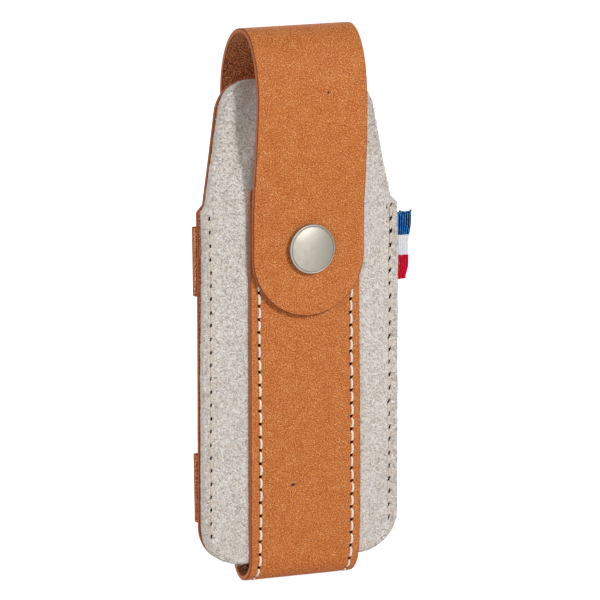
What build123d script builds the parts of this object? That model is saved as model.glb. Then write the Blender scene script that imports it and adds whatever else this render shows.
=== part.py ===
from build123d import *
import math
import os

# Pouch outline, seen from the front. Millimetres, X across, Y from front to back, Z up.
panel_half_width = 33.0
panel_corner_radius = 12.5
shoulder_height = 114.7
shoulder_drop = 2.3
shoulder_inset = 2.5
shoulder_rounding = 0.9
mouth_height = 154.3
mouth_half_width = 23.7
mouth_corner_radius = 12.0
mouth_lean = 1.5

# Sheet thicknesses
felt_thickness = 2.8
leather_thickness = 1.6
ribbon_thickness = 0.4

# Swell of the two panels over the pocket
front_swell = 1.6
back_swell = 2.7
swell_side_clearance = 0.25
swell_run = 9.4
mouth_swell_half_width = 5.0
mouth_swell_run = 9.0

# Carrying strap
strap_half_width = 18.35
strap_end_rise = 7.0
strap_end_rounding = 1.2
back_fold_rise = 5.6
belt_gap = 4.6
belt_bend_run = 6.0
fold_slit = 0.1
curl_seat_clearance = 0.05

# Free arch of the strap over the mouth
arch_clearance = 16.0
arch_crown_rise = 22.3
arch_top_depth = 4.0
arch_back_depth = 18.9
arch_front_reach = 8.3
front_fold_rise = 10.3

# Flap
flap_gap = 0.6
flap_settle_clearance = 0.7
flap_end_radius = 18.7
flap_overhang = 20.9
flap_flare_rise = 18.9

# Belt bands across the back
band_height = 21.4
lower_band_bottom = 19.1
belt_clear_height = 48.5
band_half_width = 33.5
band_side_clearance = 0.5
band_bend_run = 9.6
band_corner_radius = 0.6

# Snap
snap_drop = 18.4
cap_radius = 7.5
cap_depth = 2.9
cap_wall = 0.7
cap_crown = 0.35
cap_rim_step = 0.9
cap_edge_rounding = 0.35
cap_post_radius = 1.5
cap_post_flare = 0.6
cap_post_flare_depth = 0.15
socket_bore_radius = 4.1
socket_wall = 0.6
socket_flange_width = 1.6
socket_flange_depth = 0.35
socket_base_depth = 0.4
socket_depth = 3.0
socket_lip_width = 0.5
socket_lip_depth = 0.3
ring_wire_radius = 0.3
ring_split = 1.2
stud_flange_radius = 5.5
stud_flange_depth = 0.4
stud_neck_radius = 2.5
stud_neck_depth = 1.4
stud_head_radius = 3.0
stud_head_depth = 1.0
stud_head_rounding = 0.4
stud_bore_radius = 1.75
rivet_flange_radius = 5.0
rivet_flange_depth = 0.4
rivet_wall = 0.35
rivet_end_clearance = 0.15
fit_clearance = 0.05

# Ribbon tag in the right seam
tag_bottom = 90.3
tag_height = 21.0
tag_reach = 4.4
tag_root = 4.6
tag_fold_gap = 0.5

# Threads
stitch_pitch = 3.9
stitch_length = 3.0
stitch_width = 0.6
stitch_rise = 0.25
seam_inset = 2.7
seam_bottom = 15.1
seam_top = 113.2
strap_thread_inset = 2.9
tack_stitches = 2

# Cuts run past the solid by this much
overrun = 1.0

# Heights that follow from one another
strap_end_height = shoulder_height + strap_end_rise
snap_height = strap_end_height - snap_drop
flap_end_height = snap_height - flap_overhang
arch_top_height = mouth_height + arch_clearance
arch_side_height = arch_top_height - arch_crown_rise
front_fold_height = arch_side_height + front_fold_rise

# Depths of the stack, worked out from the sheets. Negative is towards the front.
leather_face = felt_thickness
back_face = leather_face + leather_thickness
felt_front = -front_swell
strap_front = felt_front - leather_thickness
leather_back = back_face + back_swell
strap_back = leather_back + leather_thickness
flap_inner = strap_front - flap_gap
flap_outer = flap_inner - leather_thickness

# The curl under the pouch joins the front run to the back run
curl_outer_radius = (strap_back - strap_front) / 2
curl_inner_radius = curl_outer_radius - leather_thickness
curl_depth = (strap_back + strap_front) / 2
panel_bottom = curl_outer_radius + curl_seat_clearance

curl_centre = (curl_depth, curl_outer_radius)

# Swell at the strap, wide enough for the strap to lie flat
swell_half_width = strap_half_width + swell_side_clearance
lower_band_top = lower_band_bottom + band_height
upper_band_bottom = lower_band_top + belt_clear_height

back_fold_height = upper_band_bottom + band_height + back_fold_rise

# The strap stands clear of the pouch between the bands, for the belt
belt_space_bottom = lower_band_top + band_side_clearance
belt_space_top = upper_band_bottom - band_side_clearance

# Half axes of the arch's two quarter ellipses, on its outer side
arch_back_run = arch_back_depth - arch_top_depth
arch_front_run = arch_top_depth + arch_front_reach
flap_centre_height = flap_end_height + flap_end_radius
flap_flare_height = flap_centre_height + flap_flare_rise
flap_settle_height = snap_height + cap_radius + flap_settle_clearance

# Snap, as distances forward of the felt's flat sides
strap_face = -strap_front
flap_back = -flap_inner
flap_face = -flap_outer
cap_top = flap_face + cap_depth
socket_floor = flap_back + socket_depth


def polygon(points):
    return make_face(Polyline(*points, close=True))


def bend(start, end, offset, upright=False):
    """Two tangent arcs that step sideways between parallel runs, moved to one side by the offset."""
    run = end[0] - start[0]
    rise = end[1] - start[1]
    turn = 2 * math.atan2(abs(rise), abs(run))
    radius = (rise**2 + run**2) / (4 * abs(rise))
    way = math.copysign(1, run)
    side = math.copysign(1, rise)
    first = radius - side * offset
    second = radius + side * offset

    def place(along, across):
        return (across, along) if upright else (along, across)

    def on_first(angle):
        across = start[1] + side * (radius - first * math.cos(angle))
        return place(start[0] + way * first * math.sin(angle), across)

    def on_second(angle):
        across = end[1] - side * (radius - second * math.cos(angle))
        return place(end[0] - way * second * math.sin(angle), across)

    return [
        ThreePointArc(on_first(0), on_first(turn / 2), on_first(turn)),
        ThreePointArc(on_second(turn), on_second(turn / 2), on_second(0)),
    ]


def swell_section(height, reach, edge, crest, flat, run, thickness):
    """Cross section of one panel: flat sides and a flat crest, joined by two bends."""
    foot = flat + run
    far_edge = edge + thickness
    far_crest = crest + thickness
    edges = [Line((-reach, edge), (-foot, edge))]
    edges += bend((-foot, edge), (-flat, crest), 0)
    edges += [Line((-flat, crest), (flat, crest))]
    edges += bend((flat, crest), (foot, edge), 0)
    edges += [Line((foot, edge), (reach, edge)), Line((reach, edge), (reach, far_edge))]
    edges += [Line((reach, far_edge), (foot, far_edge))]
    edges += bend((foot, far_edge), (flat, far_crest), 0)
    edges += [Line((flat, far_crest), (-flat, far_crest))]
    edges += bend((-flat, far_crest), (-foot, far_edge), 0)
    edges += [Line((-foot, far_edge), (-reach, far_edge)), Line((-reach, far_edge), (-reach, edge))]
    return Plane.XY.offset(height) * make_face(edges)


def swollen_sheet(edge, crest, thickness):
    """A panel before it is cut to the outline. Above the strap the pocket narrows and the sides lean back."""
    reach = panel_half_width + overrun
    low = swell_section(0, reach, edge, crest, swell_half_width, swell_run, thickness)
    high = swell_section(strap_end_height, reach, edge, crest, swell_half_width, swell_run, thickness)
    leaning = edge + mouth_lean
    top = swell_section(mouth_height, reach, leaning, crest, mouth_swell_half_width, mouth_swell_run, thickness)
    return loft([low, high], ruled=True) + loft([high, top], ruled=True)


def at_height(sketch, height):
    return [v for v in sketch.vertices() if abs(v.Y - height) < fit_clearance]


def panel_outline():
    """The shape both panels are cut to, as a block that runs through the whole pouch."""
    step_half_width = panel_half_width - shoulder_inset
    right = [
        (panel_half_width, panel_bottom),
        (panel_half_width, shoulder_height),
        (step_half_width, shoulder_height + shoulder_drop),
        (mouth_half_width, mouth_height),
    ]
    outline = polygon(right + [(-x, z) for x, z in reversed(right)])
    outline = fillet(at_height(outline, panel_bottom), panel_corner_radius)
    outline = fillet(at_height(outline, mouth_height), mouth_corner_radius)
    outline = fillet(at_height(outline, shoulder_height), shoulder_rounding)
    return extrude(Plane.XZ * outline, strap_back + overrun, both=True)


def turned(profile):
    """Turns a profile of (radius, distance forward) about the snap's axis."""
    blank = revolve(Plane.XZ * polygon(profile), Axis.Z)
    return Pos(0, 0, snap_height) * Rot(X=90) * blank


def ring(inner_radius, outer_radius, near, far):
    return turned([(inner_radius, near), (outer_radius, near), (outer_radius, far), (inner_radius, far)])


def felt_front_panel():
    felt = swollen_sheet(0, felt_front, felt_thickness) & panel_outline()
    felt_face = -felt_front
    rivet_seat = felt_face - rivet_flange_depth - fit_clearance
    felt -= ring(0, rivet_flange_radius + fit_clearance, rivet_seat, felt_face + overrun)
    slot_width = tag_root + fit_clearance + overrun
    slot_depth = 2 * ribbon_thickness + tag_fold_gap + fit_clearance
    slot_x = panel_half_width + overrun - slot_width / 2
    slot_y = felt_thickness - slot_depth / 2
    slot = Box(slot_width, slot_depth, tag_height + 2 * fit_clearance)
    return felt - Pos(slot_x, slot_y, tag_bottom + tag_height / 2) * slot


def back_leather_panel():
    return swollen_sheet(leather_face, leather_face + back_swell, leather_thickness) & panel_outline()


def carry_strap():
    """The front run, the curl and the back run of the strap, in one piece."""
    bends_at = [
        (belt_space_bottom, belt_space_bottom + belt_bend_run),
        (belt_space_top, belt_space_top - belt_bend_run),
    ]

    def back_run(offset):
        foot = leather_back + offset
        crest = foot + belt_gap
        (low, low_end), (high, high_end) = bends_at
        edges = [Line((foot, curl_outer_radius), (foot, low))]
        edges += bend((low, leather_back), (low_end, leather_back + belt_gap), offset, upright=True)
        edges += [Line((crest, low_end), (crest, high_end))]
        edges += bend((high_end, leather_back + belt_gap), (high, leather_back), offset, upright=True)
        edges += [Line((foot, high), (foot, back_fold_height - fold_slit))]
        return edges

    top = back_fold_height - fold_slit
    edges = [Line((felt_front, strap_end_height), (strap_front, strap_end_height))]
    edges += [Line((strap_front, strap_end_height), (strap_front, curl_outer_radius))]
    edges += [ThreePointArc((strap_front, curl_outer_radius), (curl_depth, 0), (strap_back, curl_outer_radius))]
    edges += back_run(leather_thickness)
    edges += [Line((strap_back, top), (leather_back, top))]
    edges += back_run(0)
    inner_low = (curl_depth, leather_thickness)
    edges += [ThreePointArc((leather_back, curl_outer_radius), inner_low, (felt_front, curl_outer_radius))]
    edges += [Line((felt_front, curl_outer_radius), (felt_front, strap_end_height))]
    strap = extrude(Plane.YZ * make_face(Wire(edges)), strap_half_width, both=True)
    ends = [e for e in strap.edges().filter_by(Axis.Y) if abs(e.center().Z - strap_end_height) < fit_clearance]
    strap = fillet(ends, strap_end_rounding)
    strap -= ring(0, stud_bore_radius, -felt_front - overrun, strap_face + overrun)
    seat = strap_face - stud_flange_depth
    return strap - ring(0, stud_flange_radius + fit_clearance, seat, strap_face + overrun)


def free_loop(half_width):
    """The strap from the back fold, over the arch and down to the flap's end, before it is divided."""
    def side(offset):
        depth = leather_thickness - offset
        centre = (arch_top_depth, arch_side_height)
        rise = arch_crown_rise - depth
        edges = bend(
            (back_fold_height, strap_back), (arch_side_height, arch_back_depth), -depth, upright=True
        )
        edges += [EllipticalCenterArc(centre, arch_back_run - depth, rise, start_angle=0, arc_size=90)]
        edges += [EllipticalCenterArc(centre, arch_front_run - depth, rise, start_angle=90, arc_size=90)]
        edges += bend(
            (arch_side_height, -arch_front_reach), (flap_settle_height, flap_outer), depth, upright=True
        )
        edges += [Line((flap_outer + depth, flap_settle_height), (flap_outer + depth, flap_end_height))]
        return edges

    edges = side(leather_thickness) + side(0)
    edges += [Line((strap_back, back_fold_height), (leather_back, back_fold_height))]
    edges += [Line((flap_outer, flap_end_height), (flap_inner, flap_end_height))]
    return extrude(Plane.YZ * make_face(Wire(edges)), half_width, both=True)


def front_of_fold():
    """Everything forward of the arch's top and under the front fold."""
    depth = arch_top_depth + arch_front_reach + overrun
    height = front_fold_height - flap_end_height + overrun
    block = Box(2 * (flap_end_radius + overrun), depth, height)
    centre = (0, arch_top_depth - depth / 2, front_fold_height - height / 2)
    return Pos(*centre) * block


def flap_arch():
    loop = free_loop(strap_half_width) - front_of_fold()
    base = Box(2 * (strap_half_width + overrun), 2 * (strap_back + overrun), fold_slit)
    return loop - Pos(0, strap_back, back_fold_height + fold_slit / 2) * base


def flap_tongue():
    """The flap, flared a little towards its round end."""
    top = front_fold_height + overrun
    outline = make_face([
        Line((-strap_half_width, top), (strap_half_width, top)),
        Line((strap_half_width, top), (strap_half_width, flap_flare_height)),
        Line((strap_half_width, flap_flare_height), (flap_end_radius, flap_centre_height)),
        ThreePointArc((flap_end_radius, flap_centre_height), (0, flap_end_height), (-flap_end_radius, flap_centre_height)),
        Line((-flap_end_radius, flap_centre_height), (-strap_half_width, flap_flare_height)),
        Line((-strap_half_width, flap_flare_height), (-strap_half_width, top)),
    ])
    cut = extrude(Plane.XZ * outline, arch_front_reach + arch_top_depth + overrun, both=True)
    tongue = free_loop(flap_end_radius) & front_of_fold() & cut
    slit_depth = arch_top_depth + arch_front_reach + overrun
    slit = Box(2 * (flap_end_radius + overrun), 2 * slit_depth, fold_slit)
    tongue -= Pos(0, 0, front_fold_height - fold_slit / 2) * slit
    hole = socket_bore_radius + socket_wall + fit_clearance
    tongue -= ring(0, hole, flap_back - overrun, flap_face + overrun)
    seat = hole - fit_clearance + socket_flange_width + fit_clearance
    return tongue - ring(0, seat, flap_back - overrun, flap_back + socket_flange_depth)


def belt_band(bottom):
    """A band across the back. It hugs the strap and lies flat on the panel at both ends."""
    flat = swell_half_width + band_side_clearance
    foot = flat + band_bend_run

    def side(offset):
        low = back_face + offset
        high = strap_back + offset
        edges = [Line((-band_half_width, low), (-foot, low))]
        edges += bend((-foot, back_face), (-flat, strap_back), offset)
        edges += [Line((-flat, high), (flat, high))]
        edges += bend((flat, strap_back), (foot, back_face), offset)
        edges += [Line((foot, low), (band_half_width, low))]
        return edges

    far = back_face + leather_thickness
    edges = side(0) + side(leather_thickness)
    edges += [Line((x, back_face), (x, far)) for x in (-band_half_width, band_half_width)]
    band = extrude(Plane.XY.offset(bottom) * make_face(Wire(edges)), band_height)
    return fillet(band.edges().filter_by(Axis.Y), band_corner_radius)


def ribbon_tag():
    """A ribbon folded once, its two ends caught between felt and leather."""
    outer = ribbon_thickness + tag_fold_gap / 2
    inner = tag_fold_gap / 2
    middle = felt_thickness - outer
    root = panel_half_width - tag_root
    bow = panel_half_width + tag_reach - outer
    tip = panel_half_width + tag_reach
    edges = [
        Line((root, middle - outer), (bow, middle - outer)),
        ThreePointArc((bow, middle - outer), (tip, middle), (bow, middle + outer)),
        Line((bow, middle + outer), (root, middle + outer)),
        Line((root, middle + outer), (root, middle + inner)),
        Line((root, middle + inner), (bow, middle + inner)),
        ThreePointArc((bow, middle + inner), (bow + inner, middle), (bow, middle - inner)),
        Line((bow, middle - inner), (root, middle - inner)),
        Line((root, middle - inner), (root, middle - outer)),
    ]
    return extrude(Plane.XY.offset(tag_bottom) * make_face(edges), tag_height)


def snap_cap():
    """A hollow cap with a step inside its rim, and the post that holds the socket."""
    inside = cap_radius - cap_wall
    ceiling = cap_top - cap_crown - cap_wall
    post_end = socket_floor - cap_post_flare_depth
    flare = cap_post_radius + cap_post_flare
    shoulder = cap_top - cap_crown
    return turned([
        (0, post_end),
        (flare, post_end),
        (flare, socket_floor),
        (cap_post_radius, socket_floor),
        (cap_post_radius, ceiling),
        (inside, ceiling),
        (inside, flap_face),
        (cap_radius, flap_face),
        (cap_radius, shoulder - cap_edge_rounding),
        (cap_radius - cap_edge_rounding, shoulder),
        (cap_radius - cap_rim_step, shoulder),
        (cap_radius - 2 * cap_rim_step, cap_top),
        (0, cap_top),
    ])


def snap_socket():
    """A cup that opens to the stud, with a lip that keeps the ring in and a flange on the leather."""
    outside = socket_bore_radius + socket_wall
    base = socket_floor + socket_base_depth
    lip = socket_bore_radius - socket_lip_width
    return turned([
        (lip, flap_back),
        (outside + socket_flange_width, flap_back),
        (outside + socket_flange_width, flap_back + socket_flange_depth),
        (outside, flap_back + socket_flange_depth),
        (outside, base),
        (cap_post_radius + fit_clearance, base),
        (cap_post_radius + fit_clearance, socket_floor),
        (socket_bore_radius, socket_floor),
        (socket_bore_radius, flap_back + socket_lip_depth),
        (lip, flap_back + socket_lip_depth),
    ])


def snap_ring_spring():
    """The split wire ring that closes behind the stud's head."""
    radius = socket_bore_radius - fit_clearance - ring_wire_radius
    seat = flap_back + socket_lip_depth + fit_clearance + ring_wire_radius
    section = Pos(radius, seat) * RegularPolygon(ring_wire_radius, side_count=6)
    wire = Pos(0, 0, snap_height) * Rot(X=90) * revolve(Plane.XZ * section, Axis.Z)
    split = Box(ring_split, 2 * ring_split, 2 * radius)
    return wire - Pos(0, -seat, snap_height + radius) * split


def snap_stud():
    seat = strap_face - stud_flange_depth
    neck_end = strap_face + stud_neck_depth
    head_end = neck_end + stud_head_depth
    bore_end = head_end - rivet_wall - rivet_end_clearance
    bore = stud_bore_radius
    return turned([
        (bore, seat),
        (stud_flange_radius, seat),
        (stud_flange_radius, strap_face),
        (stud_neck_radius, strap_face),
        (stud_neck_radius, neck_end - stud_head_rounding),
        (stud_head_radius, neck_end),
        (stud_head_radius, head_end - stud_head_rounding),
        (stud_head_radius - stud_head_rounding, head_end),
        (0, head_end),
        (0, bore_end),
        (bore, bore_end),
    ])


def stud_rivet():
    """The flange lies between strap and felt, and the tube stands in the stud."""
    felt_face = -felt_front
    tube = stud_bore_radius - fit_clearance
    bore_end = strap_face + stud_neck_depth + stud_head_depth - rivet_wall - rivet_end_clearance
    tube_end = bore_end - rivet_end_clearance
    near = felt_face - rivet_flange_depth
    return turned([
        (tube - rivet_wall, near),
        (rivet_flange_radius, near),
        (rivet_flange_radius, felt_face),
        (tube, felt_face),
        (tube, tube_end),
        (tube - rivet_wall, tube_end),
    ])


def stitch():
    """One stitch. It lies on Y zero and rises to the front."""
    return Pos(0, -stitch_rise / 2) * Box(stitch_width, stitch_rise, stitch_length)


def seam_heights():
    count = math.floor((seam_top - seam_bottom) / stitch_pitch)
    return [seam_bottom + stitch_length / 2 + i * stitch_pitch for i in range(count)]


def side_seam(side, tacks):
    """Stitches down one side, in front on the felt and behind on the leather or on a band's end."""
    x = side * (panel_half_width - seam_inset)
    one = stitch()
    stitches = [Pos(x, 0, z) * one for z in seam_heights()]
    for z in seam_heights():
        on_band = False
        crosses_edge = False
        for bottom in (lower_band_bottom, upper_band_bottom):
            for edge in (bottom, bottom + band_height):
                crosses_edge = crosses_edge or abs(z - edge) < stitch_length / 2 + fit_clearance
            on_band = on_band or bottom < z < bottom + band_height
        if not crosses_edge:
            depth = back_face + leather_thickness if on_band else back_face
            stitches.append(Pos(x, depth, z) * Rot(Z=180) * one)
    top = seam_heights()[-1]
    for i in range(tacks):
        beside = x - side * (i + 1) * (stitch_width + fit_clearance)
        stitches.append(Pos(beside, 0, top + i * stitch_width) * one)
    return Compound(stitches)


def strap_seam(side):
    """Stitches down the front run, round the curl and up the back to the lower band."""
    x = side * (strap_half_width - strap_thread_inset)
    one = stitch()
    start = strap_end_height - strap_thread_inset
    front = start - curl_outer_radius
    round_curl = math.pi * curl_outer_radius
    back = lower_band_bottom - band_side_clearance - curl_outer_radius
    count = math.floor((front + round_curl + back) / stitch_pitch)
    stitches = []
    for i in range(count):
        along = (i + 1) * stitch_pitch - stitch_pitch / 2
        if along < front:
            place = Pos(x, strap_front, start - along)
        elif along < front + round_curl:
            angle = (along - front) / curl_outer_radius
            reach = curl_outer_radius + fit_clearance
            y = curl_centre[0] - reach * math.cos(angle)
            z = curl_centre[1] - reach * math.sin(angle)
            place = Pos(x, y, z) * Rot(X=math.degrees(angle))
        else:
            place = Pos(x, strap_back, curl_outer_radius + along - front - round_curl) * Rot(Z=180)
        stitches.append(place * one)
    return Compound(stitches)


parts = {
    "felt_front_panel": felt_front_panel(),
    "back_leather_panel": back_leather_panel(),
    "carry_strap": carry_strap(),
    "flap_arch": flap_arch(),
    "flap_tongue": flap_tongue(),
    "lower_belt_band": belt_band(lower_band_bottom),
    "upper_belt_band": belt_band(upper_band_bottom),
    "ribbon_tag": ribbon_tag(),
    "snap_cap": snap_cap(),
    "snap_socket": snap_socket(),
    "snap_ring_spring": snap_ring_spring(),
    "snap_stud": snap_stud(),
    "stud_rivet": stud_rivet(),
    "left_side_seam": side_seam(-1, 0),
    "right_side_seam": side_seam(1, tack_stitches),
    "left_strap_seam": strap_seam(-1),
    "right_strap_seam": strap_seam(1),
}

# The origin is the middle of the belt passage
to_belt = Pos(0, -leather_back - belt_gap / 2, -(belt_space_bottom + belt_space_top) / 2)

os.makedirs("parts", exist_ok=True)
for name, shape in parts.items():
    export_step(to_belt * shape, f"parts/{name}.step")
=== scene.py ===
import math

import bpy
import bmesh
import numpy as np
from mathutils import Matrix, Vector


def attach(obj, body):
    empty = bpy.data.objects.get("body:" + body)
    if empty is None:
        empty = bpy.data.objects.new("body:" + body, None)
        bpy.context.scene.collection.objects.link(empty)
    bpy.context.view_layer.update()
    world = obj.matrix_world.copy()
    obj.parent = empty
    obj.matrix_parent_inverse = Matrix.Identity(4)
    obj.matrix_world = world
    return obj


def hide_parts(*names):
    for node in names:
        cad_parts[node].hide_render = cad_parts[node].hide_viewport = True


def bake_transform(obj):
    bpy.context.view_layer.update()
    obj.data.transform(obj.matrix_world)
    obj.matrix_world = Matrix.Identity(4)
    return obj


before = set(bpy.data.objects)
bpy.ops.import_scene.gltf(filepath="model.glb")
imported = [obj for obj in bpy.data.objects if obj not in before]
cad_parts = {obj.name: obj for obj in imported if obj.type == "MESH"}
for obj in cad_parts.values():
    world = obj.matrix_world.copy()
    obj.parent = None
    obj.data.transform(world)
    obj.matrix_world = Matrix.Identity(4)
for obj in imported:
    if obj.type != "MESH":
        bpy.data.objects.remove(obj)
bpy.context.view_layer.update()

# All lengths are millimetres in the part's own coordinates: X across, Y from front to back,
# Z up from the bottom of the curl. SHIFT moves them to the row frame.
MM = 0.001
SHIFT = np.array([0.0, -9.4, -64.75])

LEATHER = 1.6  # thickness of strap, leather panel and bands
FELT = 2.8  # thickness of the felt
EDGE = 0.52  # border of a leather face beside its cut edge

STRAP_HALF = 18.35  # half the strap's width
STRAP_END = 121.7  # height of its front end
STRAP_FRONT = -3.2  # Y of its outer face on the front
STRAP_BACK = 8.7  # and on the back
CURL_CENTRE = (2.75, 5.95)
CURL_RADIUS = 5.95
BELT_ROOM = 4.6  # how far the strap stands off the panel behind the belt
ARCH_Y, ARCH_Z = 4.0, 148.0  # middle of the arch
ARCH_BACK, ARCH_FRONT, ARCH_RISE = 15.4, 12.3, 22.1
FLAP_OUTER = -5.4  # Y of the flap's outer face
FLAP_RADIUS = 18.75
FLAP_CENTRE = 101.1
SNAP = 103.3  # height of the snap's axis
STITCH_LINES = (-15.8, 15.35)  # X of the strap's two lines of stitches
PITCH = 4.06

PANEL_HALF = 33.2
PANEL_FOOT = 5.9
SHOULDER = 117.0
MOUTH = 154.4
TAPER = 8.4  # how much narrower each side is at the mouth
FELT_CROWN = -1.6  # Y of the felt's front over the pocket
PANEL_CROWN = 2.7  # the leather panel's share of the same swell
SIDE_SEAM = 30.3
SIDE_PITCH = 4.08
BAND_HALF = 10.7  # half the height of a belt band
UPPER_BAND, LOWER_BAND = 89.0, 19.1

RIBBON_HALF = 10.4
RIBBON_MIDDLE = 100.85
RIB = 0.8  # from one rib of the ribbon to the next


# ---- helpers

def hashed(ix, iy, iz, seed):
    """A number from 0 to 1 for each cell of a grid."""
    n = (ix * 73856093) ^ (iy * 19349663) ^ (iz * 83492791) ^ (seed * 26544357)
    n = (n ^ (n >> 13)) * 1274126177
    return ((n ^ (n >> 16)) & 0xFFFFFF) / 0xFFFFFF


def xyz(x, y, z):
    return np.stack(np.broadcast_arrays(x, y, z), axis=-1).astype(float)


def lumps(x, y, size, seed, z=0):
    """Smooth noise from -1 to 1 whose lumps have that size."""
    q = xyz(x, y, z) / size
    cell = np.floor(q).astype(np.int64)
    f = q - cell
    f = f * f * (3 - 2 * f)
    total = np.zeros(len(q))
    for c in map(np.array, np.ndindex(2, 2, 2)):
        weight = np.prod(np.where(c == 1, f, 1 - f), axis=1)
        total += weight * hashed(*(cell + c).T, seed)
    return 2 * total - 1


def smooth(t):
    """A soft step from 0 to 1."""
    t = np.clip(t, 0, 1)
    return t * t * (3 - 2 * t)


def unit(v):
    return v / np.maximum(np.linalg.norm(v, axis=-1, keepdims=True), 1e-12)


def travelled(points):
    """The length along a polyline at each of its points."""
    return np.concatenate([[0], np.cumsum(np.linalg.norm(np.diff(points, axis=0), axis=1))])


def circle(sides):
    return np.linspace(0, 2 * math.pi, sides, endpoint=False)


def ring_faces(rings, sides):
    """The quads between rings of points that each close on themselves."""
    k, i = np.meshgrid(np.arange(rings - 1), np.arange(sides), indexing="ij")
    k, i = k.ravel() * sides, i.ravel()
    j = (i + 1) % sides
    return np.stack([k + i, k + j, k + sides + j, k + sides + i], axis=1)


def added(name, data):
    obj = bpy.data.objects.new(name, data)
    bpy.context.scene.collection.objects.link(obj)
    return obj


def make(name, points, faces, materials, index=None, uv=None, body="pouch", replaces=(), slot=None, merge=0.0):
    """A mesh piece from points in millimetres. uv holds one (u, v) pair for each corner of each face."""
    mesh = bpy.data.meshes.new(name)
    mesh.from_pydata(((np.asarray(points, float) + SHIFT) * MM).tolist(), [], faces)
    for m in materials:
        mesh.materials.append(m)
    if index is not None:
        mesh.polygons.foreach_set("material_index", index)
    if uv is not None:
        layer = mesh.uv_layers.new(name="flat")
        layer.data.foreach_set("uv", np.asarray(uv, np.float32).ravel())
    bm = bmesh.new()
    bm.from_mesh(mesh)
    if merge:
        bmesh.ops.remove_doubles(bm, verts=bm.verts, dist=merge * MM)
    bmesh.ops.recalc_face_normals(bm, faces=bm.faces)
    bm.to_mesh(mesh)
    bm.free()
    mesh.shade_smooth()
    obj = added(name, mesh)
    if body:
        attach(obj, body)
    if replaces:
        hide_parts(*replaces)
    return obj


def rounded(corners, step=0.5):
    """A polyline through (x, s, radius) corners with each corner rounded, as dense points."""
    points = []
    count = len(corners)
    for i, (x, s, radius) in enumerate(corners):
        here = np.array([x, s], float)
        if radius == 0 or i in (0, count - 1):
            points.append(here)
            continue
        a = unit(np.array(corners[i - 1][:2]) - here)
        b = unit(np.array(corners[i + 1][:2]) - here)
        half = math.acos(np.clip(a @ b, -1, 1)) / 2
        reach = radius / math.tan(half)
        centre = here + unit(a + b) * radius / math.sin(half)
        start, end = here + a * reach - centre, here + b * reach - centre
        turn = math.atan2(start[0] * end[1] - start[1] * end[0], start @ end)
        pieces = max(3, int(abs(turn) * radius / 0.45), int(abs(turn) / 0.3))
        for k in range(pieces + 1):
            angle = turn * k / pieces
            c, n = math.cos(angle), math.sin(angle)
            points.append(centre + np.array([c * start[0] - n * start[1], n * start[0] + c * start[1]]))
    dense = [points[0]]
    for p in points[1:]:
        gap = np.linalg.norm(p - dense[-1])
        if gap < 1e-6:
            continue
        pieces = math.ceil(gap / step)
        start = dense[-1]
        dense += [start + (p - start) * k / pieces for k in range(1, pieces + 1)]
    return np.array(dense)


def inward(outline):
    """The normals of a right-hand outline that runs towards growing s. They point to the left."""
    d = unit(np.gradient(outline, axis=0))
    return np.stack([-d[:, 1], d[:, 0]], axis=1)


def cut_ring(thickness, rounding, support, behind=None):
    """(inset, depth) pairs round a cut edge, from the outer face to the inner one."""
    def half(radius):
        angles = np.linspace(0, math.pi / 2, 4)
        return [(radius + support, 0.0)] + [(radius * (1 - math.sin(a)), radius * (1 - math.cos(a))) for a in angles]
    back = [(e, thickness - d) for e, d in reversed(half(rounding if behind is None else behind))]
    if behind is None:
        middle = (thickness * 0.4, thickness * 0.6)
    else:
        middle = (thickness * 0.55, thickness * 0.55 + 0.3)
    return half(rounding) + [(0.0, d) for d in middle] + back


def close_end(rows, outline, rounding, way):
    """Turn (point, normal, squeeze) rows in at their start for way 1, at their end for way -1."""
    rows = rows[::way]
    first = rows[0][0][1]
    keep = next(i for i, row in enumerate(rows) if way * (row[0][1] - first) > rounding * 1.3)
    turned_in = []
    for angle in np.linspace(0, math.pi / 2, 4)[::-1]:
        s = first + way * rounding * (1 - math.sin(angle))
        nearest = int(np.argmin(np.abs(outline[:, 1] - s)))
        turned_in.append(((outline[nearest, 0], s), (-1.0, 0.0), rounding * (1 - math.cos(angle))))
    return (turned_in + rows[keep:])[::way]


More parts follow.
